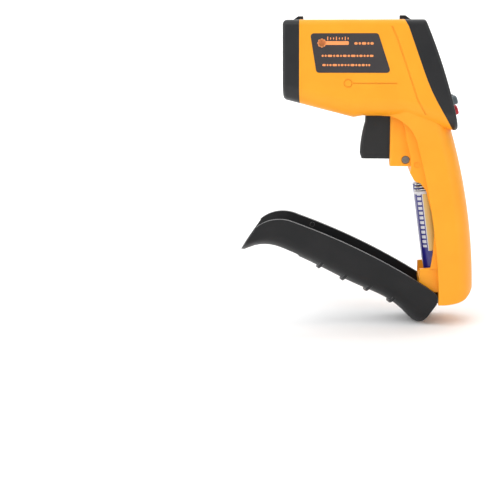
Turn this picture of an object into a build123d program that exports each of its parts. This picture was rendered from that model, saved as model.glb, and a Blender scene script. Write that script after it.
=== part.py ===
from build123d import *
import os
from math import atan2, cos, degrees, hypot, radians, sin, sqrt

# Pistol-shaped infrared thermometer, millimetres.
# +Z is up, -X is the way the lens looks, Y = 0 is the plane that the two housing halves meet in.
# The origin is the middle of the hand grip. The battery door in the front of the grip stands open.

# ---- head ----
NOSE_X = -79.7  # front face of the nose
FRONT_SEAM_X = -70.9  # joint between nose cap and housing
HEAD_TOP = 100.8
NOSE_HALF_WIDTH = 18.6
HEAD_FLARE = 0.028  # half width gained per millimetre towards the rear
NOSE_BOTTOM = 59.7
CHIN_X, CHIN_BOTTOM = -42.6, 50.3  # lowest corner of the head, ahead of the trigger
UNDERSIDE_X, UNDERSIDE = -38.0, 51.2  # flat underside that the trigger and the door's end meet
NECK_X = -16.0
TAIL_X, TAIL_BOTTOM = 14.5, 42.4
UPPER_RADIUS = 3.0
LOWER_RADIUS = 9.0
NOSE_EDGE = 2.5
WALL = 2.0

# ---- rear face, an arc seen from the side, and the seam between rear frame and housing ----
REAR_TOP = (-6.3, 100.9)
REAR_BOTTOM = (11.5, 47.4)
REAR_SAG = 1.4
REAR_SEAM = (
    (-17.4, 101.5), (-14.8, 97.1), (-6.5, 74.4), (-4.6, 69.5), (-2.4, 64.5), (0.1, 59.6), (2.9, 54.7), (9.7, 43.2),
)
REAR_EDGE = 1.8
REAR_WALL = 2.7

# ---- grip ----
GRIP_HALF_WIDTH = 16.0
GRIP_BACK_DEPTH = 9.0  # how far the rounding of the grip's back reaches forward
BACK_ARC = ((9.6, 43.0), (19.2, 1.0), (22.9, -38.0))
GRIP_TOP = 62.0  # the grip runs this far up into the head
GRIP_FLARE, GRIP_FLARE_START = 4.2, 34.0  # half width gained below the head, and where that begins
GRIP_STATIONS = 26
THROAT = 9.0  # over this length the grip narrows forward into the underside of the head
GRIP_FOOT = -49.8
SIGHT_WIDTH = 5.0

# ---- battery door, written closed and then swung open ----
PIVOT_X, PIVOT_Z = -1.6, -47.0
DOOR_OPEN_ANGLE = 55.0
DOOR_WALL = 2.35
DOOR_GAP = 0.35
DOOR_DEPTH = 9.5  # how far the rounding of the door's front reaches back
CHEEK_RADIUS = 5.2
DOOR_BOTTOM_WALL = 1.6
SEAT_START = (-23.5, UNDERSIDE)
SEAT_SHOULDER = (-13.6, 45.4)
SEAT_KNEE = (-8.6, 35.6)
SEAT_MIDDLE = (0.1, -4.5)
SEAT_END = (PIVOT_X + CHEEK_RADIUS + DOOR_GAP, -42.0)
RIB_HEIGHTS = (10.5, -3.9, -17.8, -32.0)
RIB_WIDTH, RIB_PROUD, RIB_FADE = 1.7, 1.5, 0.7
WINDOW_HALF_WIDTH, WINDOW_LOW, WINDOW_HIGH, WINDOW_CORNER = 10.5, 22.6, 48.8, 3.0
RELIEF_FRONT, RELIEF_HALF_WIDTH = -36.9, 7.8  # room for the trigger behind the lip
HINGE_STUB_R, HINGE_CLEARANCE, HINGE_LUG_R = 1.5, 0.05, 3.3
CORE_HALF_WIDTH = GRIP_HALF_WIDTH - DOOR_WALL - DOOR_GAP

# ---- battery bay ----
CELL_R, CELL_LENGTH, CELL_NUB_R, CELL_NUB = 5.25, 44.5, 2.75, 1.0
BAY_X, BAY_Z, BAY_TILT = -1.8, -8.5, 8.0
CELL_SPACING = 11.0
CELL_STAGGER = 2.2
CELL_CLEARANCE = 0.35
BAY_HALF_LENGTH = 26.6
BAY_WALL = 1.6
CONTACT = 0.4
BAY_HALF_WIDTH = CELL_SPACING / 2 + CELL_R + CELL_CLEARANCE
BAY_BACK = CELL_R + CELL_CLEARANCE

# ---- trigger ----
TRIGGER_HALF_WIDTH = 7.2
TRIGGER_TOP, TRIGGER_BOTTOM = 50.9, 28.1
TRIGGER_CLEARANCE = 0.3
SCREW_TOP = 30.4  # the trigger's rear steps up to pass over the block's screw
TRIGGER_TRAVEL = 3.5
BLOCK_FRONT, BLOCK_REAR, BLOCK_BOTTOM, BLOCK_HALF_WIDTH = -23.2, -12.0, 24.4, 10.0
CHAMBER_REAR = -3.0
FLANGE_HALF_WIDTH = 8.4
SWITCH_X = -11.8

# ---- nose optics ----
LENS_Z, LENS_BORE_R, LENS_COLLAR_R = 77.8, 9.3, 11.4
LASER_Z, LASER_R, LASER_COLLAR_R = 94.0, 3.0, 4.6
NOSE_RECESS = 0.7
TUBE_END = -50.0

# ---- display and keys, placed in the plane of the rear face ----
DISPLAY_V, DISPLAY_WIDTH, DISPLAY_HEIGHT = 8.0, 31.0, 29.0
BOARD_W, BOARD_THICKNESS = -9.8, 1.2
KEY_TRAVEL = 0.8
KEY_CLEARANCE = 0.2
GREY_KEY_U, GREY_KEY_V = 7.5, -16.4
RED_KEY_V = -22.1

# ---- side label ----
LABEL = ((-65.2, 93.7), (-30.3, 93.7), (-23.5, 73.7), (-61.9, 73.7))
LABEL_THICKNESS, LABEL_RECESS = 0.3, 0.2

SCREW_PLACES = ((-14.8, 27.8), (-44.0, 90.0), (-32.0, 78.0))
SCREW_HEAD_R, SCREW_R = 1.9, 1.1
FAR = 60.0  # reaches past every surface


# ---- helpers ----
def outline(*points):
    """Closed face with straight sides."""
    return make_face(Polyline(*points, close=True))


def across(face, y_low, y_high):
    """A side outline in (x, z), extruded over a span of Y."""
    return extrude(Plane.XZ.offset(-y_high) * face, amount=y_high - y_low)


def block(x, y, z):
    """A box given by its low and high values on each axis."""
    size = (x[1] - x[0], y[1] - y[0], z[1] - z[0])
    middle = ((x[0] + x[1]) / 2, (y[0] + y[1]) / 2, (z[0] + z[1]) / 2)
    return Pos(*middle) * Box(*size)


def rod(radius, x_low, x_high, z, y=0.0):
    """A cylinder along X."""
    return Pos((x_low + x_high) / 2, y, z) * Rot(0, 90, 0) * Cylinder(radius, x_high - x_low)


def pegs(radius, x, z, y_low, y_high):
    """A cylinder along Y."""
    return Pos(x, (y_low + y_high) / 2, z) * Rot(90, 0, 0) * Cylinder(radius, y_high - y_low)


def circle_through(a, b, c):
    """Centre and radius of the circle through three points."""
    d = 2 * (a[0] * (b[1] - c[1]) + b[0] * (c[1] - a[1]) + c[0] * (a[1] - b[1]))
    squares = [p[0] ** 2 + p[1] ** 2 for p in (a, b, c)]
    cx = (squares[0] * (b[1] - c[1]) + squares[1] * (c[1] - a[1]) + squares[2] * (a[1] - b[1])) / d
    cz = (squares[0] * (c[0] - b[0]) + squares[1] * (a[0] - c[0]) + squares[2] * (b[0] - a[0])) / d
    return cx, cz, hypot(a[0] - cx, a[1] - cz)


def mirrored(shape):
    return mirror(shape, about=Plane.XZ)


# ---- outer form: head ----
def head_half_width(x):
    return NOSE_HALF_WIDTH + HEAD_FLARE * (x - NOSE_X)


def head_section(x, bottom, inset):
    """Upright section with small upper and large lower corners."""
    half = head_half_width(x) - inset
    face = outline(
        (-half, bottom + inset), (half, bottom + inset), (half, HEAD_TOP - inset), (-half, HEAD_TOP - inset)
    )
    face = fillet(face.vertices().group_by(Axis.Y)[0], LOWER_RADIUS - inset)
    face = fillet(face.vertices().group_by(Axis.Y)[-1], max(UPPER_RADIUS - inset, 0.4))
    return Plane(origin=(x, 0, 0), x_dir=(0, 1, 0), z_dir=(1, 0, 0)) * face


def head_body(inset=0.0):
    stations = (
        (NOSE_X, NOSE_BOTTOM),
        (CHIN_X, CHIN_BOTTOM),
        (UNDERSIDE_X, UNDERSIDE),
        (NECK_X, UNDERSIDE),
        (TAIL_X, TAIL_BOTTOM),
    )
    return loft([head_section(x, bottom, inset) for x, bottom in stations], ruled=True)


# ---- outer form: grip ----
BACK_CENTRE_X, BACK_CENTRE_Z, BACK_R = circle_through(*BACK_ARC)


def grip_back(z):
    return BACK_CENTRE_X + sqrt(BACK_R**2 - (z - BACK_CENTRE_Z) ** 2)


def grip_half_width(z):
    """Half width of grip and door, which grows with the square of the height above the flare's start."""
    rise = max(z - GRIP_FLARE_START, 0.0) / (GRIP_TOP - GRIP_FLARE_START)
    return GRIP_HALF_WIDTH + GRIP_FLARE * rise**2


def grip_section(z, inset):
    """Level section: flat sides and a half-elliptical back."""
    half = grip_half_width(z) - inset
    depth = GRIP_BACK_DEPTH - inset
    centre = grip_back(z) - GRIP_BACK_DEPTH
    back = EllipticalCenterArc((centre, 0), depth, half, start_angle=-90, arc_size=180)
    back_x, front_x, slim = BLOCK_FRONT + THROAT, BLOCK_FRONT - THROAT / 2, half - THROAT / 2
    sides = Polyline((centre, half), (back_x, half), (front_x, slim), (front_x, -slim), (back_x, -half), (centre, -half))
    return Plane.XY.offset(z) * make_face(back + sides)


def grip_body(inset=0.0):
    low = GRIP_FOOT - 3
    step = (GRIP_TOP - low) / GRIP_STATIONS
    return loft([grip_section(low + step * i, inset) for i in range(GRIP_STATIONS + 1)], ruled=True)


def seat_line(shift=0.0):
    """The line on the grip's side where housing and door meet, moved forward by shift."""
    start, shoulder, knee, middle, end = (
        (x - shift, z) for x, z in (SEAT_START, SEAT_SHOULDER, SEAT_KNEE, SEAT_MIDDLE, SEAT_END)
    )
    return ThreePointArc(start, shoulder, knee) + ThreePointArc(knee, middle, end)


def foot_cutter():
    """Everything under the grip's foot, which rises to a rounded heel."""
    heel = (18.2, GRIP_FOOT + 3.2)
    back = (BACK_ARC[2][0] + 0.4, GRIP_FOOT + 9.5)
    toe = (5.0, GRIP_FOOT)
    edges = (
        ThreePointArc(toe, (12.5, GRIP_FOOT + 0.95), heel)
        + ThreePointArc(heel, (20.7, GRIP_FOOT + 5.6), back)
        + Polyline(back, (FAR, back[1]), (FAR, -FAR - 20), (-FAR, -FAR - 20), (-FAR, GRIP_FOOT), toe)
    )
    return across(make_face(edges), -FAR, FAR)


# ---- rear plane: u is +Y, v runs up the rear face, w points out of it ----
REAR_TILT = atan2(REAR_BOTTOM[0] - REAR_TOP[0], REAR_TOP[1] - REAR_BOTTOM[1])
REAR_NORMAL = (cos(REAR_TILT), sin(REAR_TILT))
REAR_MIDDLE = tuple((a + b) / 2 for a, b in zip(REAR_TOP, REAR_BOTTOM))
REAR_PLANE = Plane(
    origin=(REAR_MIDDLE[0], 0, REAR_MIDDLE[1]), x_dir=(0, 1, 0), z_dir=(REAR_NORMAL[0], 0, REAR_NORMAL[1])
)


def rear_block(u, v, w, radius=0.0):
    """A box in the rear plane's own directions, its edges along w rounded by radius."""
    face = Pos((u[0] + u[1]) / 2, (v[0] + v[1]) / 2) * (
        RectangleRounded(u[1] - u[0], v[1] - v[0], radius) if radius else Rectangle(u[1] - u[0], v[1] - v[0])
    )
    return REAR_PLANE.offset(w[0]) * extrude(face, amount=w[1] - w[0])


def centred(middle, size):
    return middle - size / 2, middle + size / 2


def rear_arc_point(extra=0.0):
    return tuple(m + (REAR_SAG + extra) * n for m, n in zip(REAR_MIDDLE, REAR_NORMAL))


def rear_cutter():
    """Everything behind the rear face, whose arc runs on below the frame's lower tip."""
    cx, cz, radius = circle_through(REAR_TOP, rear_arc_point(), REAR_BOTTOM)
    low = (cx + sqrt(radius**2 - (TAIL_BOTTOM - 4 - cz) ** 2), TAIL_BOTTOM - 4)
    edges = ThreePointArc(REAR_TOP, rear_arc_point(), low) + Polyline(
        low, (FAR, low[1]), (FAR, 2 * FAR), (REAR_TOP[0], 2 * FAR), REAR_TOP
    )
    return across(make_face(edges), -FAR, FAR)


def rear_seam_solid(shift=0.0):
    """Everything behind the seam between housing and rear frame."""
    points = [(x + shift, z) for x, z in REAR_SEAM]
    return across(outline(*points, (FAR, 35), (FAR, 2 * FAR), (points[0][0], 2 * FAR)), -FAR, FAR)



# ---- battery bay: local x runs back from the cells, local z up along them ----
BAY = Location((BAY_X, 0, BAY_Z), (0, -BAY_TILT, 0))


def bay_block(x, y, z):
    return BAY * block(x, y, z)


# ---- housing ----
def housing_solid():
    """Skin behind the door's seat, with the narrower core that the door covers when it is shut."""
    seat = seat_line() + Polyline(
        SEAT_END, (SEAT_END[0], -FAR - 20), (UNDERSIDE_X, -FAR - 20), (UNDERSIDE_X, UNDERSIDE), SEAT_START
    )
    skin = (grip_body() - across(make_face(seat), -FAR, FAR) - foot_cutter()) + (head_body() - rear_cutter())
    core = outline(
        (-18.5, UNDERSIDE + 1), (-15.8, 45.9), (-14.5, 38.0), (-12.1, 29.0), (-12.0, 24.4), (-12.5, 21.2),
        (-10.4, 17.5), (-9.3, 16.5), (-6.9, 15.8), (-3.7, 11.6), (0.3, -4.0), (1.0, -12.7), (0.6, -22.0),
        (-0.6, -30.4), (6.0, -30.4), (6.0, 20.0), (2.0, UNDERSIDE + 1),
    )
    foot = outline(
        (-6.3, -30.6), (-6.3, -39.6), (PIVOT_X - HINGE_LUG_R, PIVOT_Z), (PIVOT_X + HINGE_LUG_R, PIVOT_Z),
        (PIVOT_X + HINGE_LUG_R, -43.3), (7.0, -43.3), (7.0, -30.0), (-0.6, -30.0),
    )
    foot_half_width = BAY_HALF_WIDTH + 1.3
    solid = skin + across(core, -CORE_HALF_WIDTH, CORE_HALF_WIDTH)
    solid += across(foot, -foot_half_width, foot_half_width)
    solid += pegs(HINGE_LUG_R, PIVOT_X, PIVOT_Z, -CORE_HALF_WIDTH, CORE_HALF_WIDTH)
    trigger_block = block(
        (BLOCK_FRONT, BLOCK_REAR), (-BLOCK_HALF_WIDTH, BLOCK_HALF_WIDTH), (BLOCK_BOTTOM, UNDERSIDE + 1)
    )
    front_edges = trigger_block.edges().filter_by(Axis.Z).group_by(Axis.X)[0]
    return solid + fillet(front_edges, 1.6)


def head_cavity():
    """The hollow of the head, open towards the nose cap, stopping short of the rear face."""
    hollow = head_body(WALL) & block((FRONT_SEAM_X - 1, FAR), (-FAR, FAR), (0, 2 * FAR))
    return hollow - rear_block((-FAR, FAR), (-FAR, FAR), (-REAR_WALL, FAR))


def trigger_chamber():
    low, high = TRIGGER_BOTTOM - TRIGGER_CLEARANCE, UNDERSIDE
    slot = TRIGGER_HALF_WIDTH + TRIGGER_CLEARANCE
    wide = FLANGE_HALF_WIDTH + TRIGGER_CLEARANCE
    front_wall = BLOCK_FRONT + WALL
    return block((BLOCK_FRONT - 1, 0), (-slot, slot), (low, high)) + block(
        (front_wall, CHAMBER_REAR), (-wide, wide), (low, high + WALL + 0.5)
    )


def housing_hollows():
    bay = bay_block((-FAR / 2, BAY_BACK), (-BAY_HALF_WIDTH, BAY_HALF_WIDTH), (-BAY_HALF_LENGTH, BAY_HALF_LENGTH))
    rear_space = grip_body(WALL) & bay_block((BAY_BACK + BAY_WALL, FAR), (-FAR, FAR), (-39.5, 2 * FAR))
    hinge = pegs(HINGE_STUB_R + HINGE_CLEARANCE, PIVOT_X, PIVOT_Z, -CORE_HALF_WIDTH, CORE_HALF_WIDTH)
    hinge -= pegs(HINGE_STUB_R + 1, PIVOT_X, PIVOT_Z, -BAY_HALF_WIDTH, BAY_HALF_WIDTH)
    return [bay, rear_space, hinge, head_cavity(), trigger_chamber()]


def style_groove():
    """A fine step that follows the rear seam down the side of the head."""
    path = ((-23.7, 97.2), (-21.1, 91.8), (-16.9, 79.9), (-12.7, 68.1), (-9.8, 59.6), (-5.6, 52.4))
    width = 0.8
    return across(outline(*path, *((x + width, z) for x, z in reversed(path))), -FAR, FAR)


def side_emboss():
    """A ring with a line running back from it."""
    ring = Pos(-45.4, 68.3) * (Circle(2.3) - Circle(1.7))
    line = Pos(-31.85, 68.3) * Rectangle(23.1, 0.5)
    detent = Pos(*DETENT) * Circle(DETENT_R)
    return across(ring + line, -FAR, FAR), across(detent, -FAR, FAR)


DETENT, DETENT_R, DETENT_DEPTH = (-8.9, 25.6), 1.6, 0.4


def label_shape(thickness, outset, y_sign=-1):
    """The label's plate on the flared side of the head."""
    x, z = LABEL[0]
    plane = Plane(
        origin=(x, -head_half_width(x), z), x_dir=(1, -HEAD_FLARE, 0), z_dir=(-HEAD_FLARE, -1, 0)
    ).offset(outset - thickness)
    face = outline(*((px - x, pz - z) for px, pz in LABEL))
    plate = plane * extrude(fillet(face.vertices(), 1.6), amount=thickness)
    return plate if y_sign < 0 else mirrored(plate)


def screw_holes():
    """Countersunk holes from the -Y side, each with a boss's bore beyond the joint plane."""
    holes = []
    for x, z in SCREW_PLACES:
        face_y = -BLOCK_HALF_WIDTH if z < UNDERSIDE else -head_half_width(x) + 1.2
        holes.append(pegs(SCREW_HEAD_R + 0.3, x, z, face_y - 2, face_y + 1.9))
        holes.append(pegs(SCREW_R + 0.05, x, z, face_y, 8.0))
    return holes


def bosses():
    """Pillars that carry the two head screws, from wall to wall."""
    return [pegs(SCREW_R + 1.6, x, z, -head_half_width(x) + 1, head_half_width(x) - 1) for x, z in SCREW_PLACES[1:]]


def housing_halves():
    solid = housing_solid() - rear_seam_solid()
    solid -= block((-FAR * 2, FRONT_SEAM_X), (-FAR, FAR), (0, 2 * FAR))
    for hollow in housing_hollows():
        solid -= hollow
    for boss in bosses():
        solid += boss
    emboss, detent = side_emboss()
    solid -= (style_groove() + emboss) - (head_body(0.35) + grip_body(0.35))
    inner = block((-FAR, FAR), (-CORE_HALF_WIDTH + DETENT_DEPTH, CORE_HALF_WIDTH - DETENT_DEPTH), (-FAR, FAR))
    solid -= detent & (block((-FAR, FAR), (-CORE_HALF_WIDTH, CORE_HALF_WIDTH), (-FAR, FAR)) - inner)
    for side in (-1, 1):
        solid -= label_shape(LABEL_RECESS + 1, 1.0, side)
    for hole in screw_holes():
        solid -= hole
    left = solid & block((-2 * FAR, FAR), (-FAR, 0), (-2 * FAR, 2 * FAR))
    right = solid & block((-2 * FAR, FAR), (0, FAR), (-2 * FAR, 2 * FAR))
    return left, right


def screws():
    made = []
    for x, z in SCREW_PLACES:
        face_y = -BLOCK_HALF_WIDTH if z < UNDERSIDE else -head_half_width(x) + 1.2
        head = pegs(SCREW_HEAD_R, x, z, face_y + 0.6, face_y + 1.9)
        shank = pegs(SCREW_R, x, z, face_y + 1.9, 7.6)
        cross = block((x - 1.3, x + 1.3), (face_y, face_y + 1.4), (z - 0.35, z + 0.35))
        cross += block((x - 0.35, x + 0.35), (face_y, face_y + 1.4), (z - 1.3, z + 1.3))
        made.append(head + shank - cross)
    return made


# ---- nose cap ----
def pear(radius_gain, x_low, x_high):
    """The recess outline around both openings of the nose."""
    lower = Pos(0, LENS_Z) * Circle(LENS_COLLAR_R + radius_gain)
    upper = Pos(0, LASER_Z) * Circle(LASER_COLLAR_R + radius_gain)
    half = LASER_COLLAR_R + radius_gain
    neck = Pos(0, (LENS_Z + LASER_Z) / 2) * Rectangle(2 * half - 1.2, LASER_Z - LENS_Z)
    face = Plane(origin=(x_low, 0, 0), x_dir=(0, 1, 0), z_dir=(1, 0, 0)) * (lower + upper + neck)
    return extrude(face, amount=x_high - x_low)


def nose_cap():
    shell = head_body() & block((NOSE_X - 1, FRONT_SEAM_X), (-FAR, FAR), (0, 2 * FAR))
    shell = fillet(shell.faces().sort_by(Axis.X)[0].edges(), NOSE_EDGE)
    hollow = head_body(WALL + 0.2) & block((NOSE_X + WALL + 0.4, FRONT_SEAM_X + 1), (-FAR, FAR), (0, 2 * FAR))
    shell = shell - hollow + pear(-0.2, NOSE_X + NOSE_RECESS, FRONT_SEAM_X)
    shell -= pear(0.6, NOSE_X - 1, NOSE_X + NOSE_RECESS)
    shell -= rod(LENS_BORE_R, NOSE_X - 1, FRONT_SEAM_X + 1, LENS_Z)
    shell -= rod(LASER_R + 0.05, NOSE_X + 1.9, FRONT_SEAM_X + 1, LASER_Z)
    shell -= rod(LASER_R - 0.5, NOSE_X - 1, FRONT_SEAM_X + 1, LASER_Z)
    clear = HEAD_TOP + 0.05
    fin = outline((-75.2, 100), (-75.2, 100.9), (-72.5, 102.9), (-69.8, 102.9), (-69.8, clear), (FRONT_SEAM_X, clear),
                  (FRONT_SEAM_X, 100.0))
    return shell + across(fin, -SIGHT_WIDTH / 2, SIGHT_WIDTH / 2)


def sensor_parts():
    tube = rod(LENS_COLLAR_R - 0.4, FRONT_SEAM_X + 0.1, TUBE_END, LENS_Z)
    tube -= rod(LENS_BORE_R - 0.6, FRONT_SEAM_X, -63.4, LENS_Z)
    tube -= rod(6.5, -64, TUBE_END + 1, LENS_Z)
    lens = rod(LENS_BORE_R - 0.65, -65.9, -63.4, LENS_Z)
    lens = fillet(lens.edges().group_by(Axis.X)[0], 0.8)
    can = rod(4.6, -56.5, TUBE_END, LENS_Z) + rod(5.2, TUBE_END - 0.6, TUBE_END, LENS_Z)
    board = block((TUBE_END, TUBE_END + 1.2), (-12, 12), (LENS_Z - 12, LENS_Z + 11))
    return tube, lens, can, board


def laser_parts():
    barrel = rod(LASER_R, NOSE_X + 1.9, -62.0, LASER_Z) - rod(1.7, NOSE_X, -74.0, LASER_Z)
    lens = rod(1.65, -76.6, -75.0, LASER_Z)
    board = block((-61.9, -55.0), (-2.6, 2.6), (LASER_Z - 0.5, LASER_Z + 0.5))
    return barrel, lens, board


# ---- rear frame, display and keys ----
DISPLAY_U = centred(0, DISPLAY_WIDTH)
DISPLAY_VS = centred(DISPLAY_V, DISPLAY_HEIGHT)


def key_places():
    return ((-GREY_KEY_U, GREY_KEY_V, 8.6, 4.6), (GREY_KEY_U, GREY_KEY_V, 8.6, 4.6), (0, RED_KEY_V, 8.6, 5.2))


def grown(span, extra):
    return span[0] - extra, span[1] + extra


def rear_frame():
    solid = (head_body() - rear_cutter()) & rear_seam_solid(0.02)
    rear_face = max(solid.faces(), key=lambda f: f.area if REAR_PLANE.to_local_coords(f.center()).Z > 0 else 0)
    solid = fillet(rear_face.edges(), REAR_EDGE)
    solid -= head_cavity()
    solid -= rear_block(grown(DISPLAY_U, 0.2), grown(DISPLAY_VS, 0.2), (-0.7, FAR), 2.2)
    solid -= rear_block(grown(DISPLAY_U, -2.2), grown(DISPLAY_VS, -2.2), (-FAR / 3, FAR), 1.5)
    for u, v, width, height in key_places():
        size_u, size_v = centred(u, width + 2 * KEY_CLEARANCE), centred(v, height + 2 * KEY_CLEARANCE)
        solid -= rear_block(size_u, size_v, (-FAR / 3, FAR), height / 2)
    clear = HEAD_TOP + 0.05
    fin = outline((-19.0, clear), (-19.0, 103.3), (-16.0, 103.3), (-12.2, 100.6), (-12.2, 99.6), (-15.0, 99.6),
                  (-16.6, clear))
    return solid + across(fin, -SIGHT_WIDTH / 2, SIGHT_WIDTH / 2)


def display_parts():
    window = rear_block(DISPLAY_U, DISPLAY_VS, (-0.7, 0.3), 2.0)
    frame = rear_block(grown(DISPLAY_U, -0.4), grown(DISPLAY_VS, -0.4), (BOARD_W + BOARD_THICKNESS, -2.9), 1.0)
    frame -= rear_block(grown(DISPLAY_U, -3.0), grown(DISPLAY_VS, -3.6), (-FAR, 0))
    frame -= rear_block(grown(DISPLAY_U, -1.6), grown(DISPLAY_VS, -1.4), (-FAR, -3.3))
    lcd = rear_block(grown(DISPLAY_U, -1.8), grown(DISPLAY_VS, -1.6), (-5.1, -3.3))
    light = rear_block(grown(DISPLAY_U, -2.4), grown(DISPLAY_VS, -5.0), (-7.4, -5.2))
    strips = []
    for v in (DISPLAY_VS[0] + 3.2, DISPLAY_VS[1] - 3.2):
        strips.append(rear_block(grown(DISPLAY_U, -2.4), centred(v, 1.6), (BOARD_W + BOARD_THICKNESS, -5.1)))
    return window, frame, lcd, light, strips


def main_board():
    return rear_block((-16.5, 16.5), (-23.7, 22.0), (BOARD_W, BOARD_W + BOARD_THICKNESS), 6.0)


def key(u, v, width, height, proud):
    """A key cap with a retaining flange under the rear wall."""
    cap = rear_block(centred(u, width), centred(v, height), (-4.3, REAR_SAG + proud), height / 2 - 0.05)
    top = [e for e in cap.edges() if REAR_PLANE.to_local_coords(e.center()).Z > REAR_SAG + proud - 0.01]
    cap = fillet(top, 0.9)
    return cap + rear_block(centred(u, width + 1.2), centred(v, height + 0.7), (-4.3, -3.3), height / 2)


def key_switches():
    made = []
    for u, v, _, _ in key_places():
        board_top = BOARD_W + BOARD_THICKNESS
        middle_v = max(v, -21.6)
        body = rear_block(centred(u, 4.2), centred(middle_v, 4.2), (board_top, -6.2), 0.5)
        made.append(body + rear_block(centred(u, 2), centred(middle_v, 2), (-6.2, -5.2), 0.9))
    return made


# ---- trigger ----
def trigger():
    face = make_face(
        Polyline((-18.0, TRIGGER_TOP), (-36.4, TRIGGER_TOP), (-36.6, 47.4))
        + ThreePointArc((-36.6, 47.4), (-38.3, 40.0), (-39.2, 31.0))
        + Polyline((-39.2, 31.0), (-38.2, TRIGGER_BOTTOM), (-20.6, TRIGGER_BOTTOM), (-20.6, SCREW_TOP))
        + Polyline((-20.6, SCREW_TOP), (-18.0, SCREW_TOP), (-18.0, TRIGGER_TOP))
    )
    body = across(face, -TRIGGER_HALF_WIDTH, TRIGGER_HALF_WIDTH)
    flange_x = BLOCK_FRONT + WALL + 0.3
    flange = block((flange_x, flange_x + 1.8), (-FLANGE_HALF_WIDTH, FLANGE_HALF_WIDTH), (SCREW_TOP, TRIGGER_TOP))
    tail = block((-18.5, SWITCH_X - TRIGGER_TRAVEL - 0.4), (-2.5, 2.5), (32.0, 36.0))
    front = [e for e in body.edges() if e.center().X < -36.2 and abs(e.center().Y) > TRIGGER_HALF_WIDTH - 0.1]
    return fillet(front, 2.2) + flange + tail


def trigger_spring():
    low, high = -18.0, CHAMBER_REAR - 0.1
    radius, wire = 3.0, 0.35
    coil = Helix(pitch=(high - low - 2 * wire) / 7, height=high - low - 2 * wire, radius=radius)
    section = Plane(origin=coil @ 0, z_dir=coil % 0) * Circle(wire)
    return Pos(low + wire, 0, 43.0) * Rot(0, 90, 0) * sweep(section, path=coil, is_frenet=True)


def trigger_switch():
    body = block((SWITCH_X + 1.0, SWITCH_X + 6.0), (-3.2, 3.2), (30.0, 38.0))
    return body + block((SWITCH_X, SWITCH_X + 1.0), (-1.2, 1.2), (32.6, 35.4))


# ---- battery door ----
DOOR_FRONT = (  # front surface and height of the shut door, from its foot to its lip
    (-15.6, -53.6), (-17.4, -48.2), (-16.8, -43.6), (-15.8, -36.0), (-19.4, -12.0), (-23.8, 15.4),
    (-26.7, 30.0), (-29.0, 38.0), (-32.0, 43.0), (-36.3, 47.0), (-39.1, 49.0), (-40.6, 51.5),
)
DOOR_STATIONS = 40


def door_section(z, front, inset=0.0, proud=0.0):
    """Level section: flat sides and a half-elliptical front."""
    half = grip_half_width(z) - inset
    centre = front + DOOR_DEPTH
    arc = EllipticalCenterArc((centre, 0), DOOR_DEPTH + proud - inset, half, start_angle=90, arc_size=180)
    sides = Polyline((centre, -half), (FAR / 2, -half), (FAR / 2, half), (centre, half))
    return Plane.XY.offset(z) * make_face(arc + sides)


def front_points(count):
    front = Spline(*DOOR_FRONT)
    return [front @ (i / count) for i in range(count + 1)]


def door_body(inset=0.0):
    points = front_points(DOOR_STATIONS)
    return loft([door_section(p.Y, p.X, inset) for p in points], ruled=True)


def finger_rib(z):
    """A level rib that stands proud at the front and fades into the sides."""
    front = min(front_points(400), key=lambda p: abs(p.Y - z)).X
    section = door_section(z - RIB_WIDTH / 2, front, RIB_FADE, RIB_FADE + RIB_PROUD)
    return extrude(section, amount=RIB_WIDTH)


def door_outline():
    """Everything that the shut door may fill, seen from the side."""
    floor = PIVOT_Z - CHEEK_RADIUS
    end = (SEAT_END[0] - DOOR_GAP, SEAT_END[1])
    bend = CHEEK_RADIUS * sqrt(0.5)
    cheek_mid = (PIVOT_X + bend, PIVOT_Z - bend)
    top = UNDERSIDE - DOOR_GAP
    edges = (
        seat_line(DOOR_GAP)
        + Line(end, (end[0], PIVOT_Z))
        + ThreePointArc((end[0], PIVOT_Z), cheek_mid, (PIVOT_X, floor))
        + Line((PIVOT_X, floor), (-12.2, floor))
        + ThreePointArc((-12.2, floor), (-15.6, floor + 1.3), (-17.4, floor + 4.2))
        + Polyline((-17.4, floor + 4.2), (-FAR, floor + 4.2), (-FAR, CHIN_BOTTOM - DOOR_GAP), (CHIN_X, CHIN_BOTTOM - DOOR_GAP))
        + Polyline((CHIN_X, CHIN_BOTTOM - DOOR_GAP), (UNDERSIDE_X, top), (SEAT_START[0] - DOOR_GAP, top))
        + Line((SEAT_START[0] - DOOR_GAP, top), (SEAT_START[0] - DOOR_GAP, SEAT_START[1]))
    )
    return make_face(edges)


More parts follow.
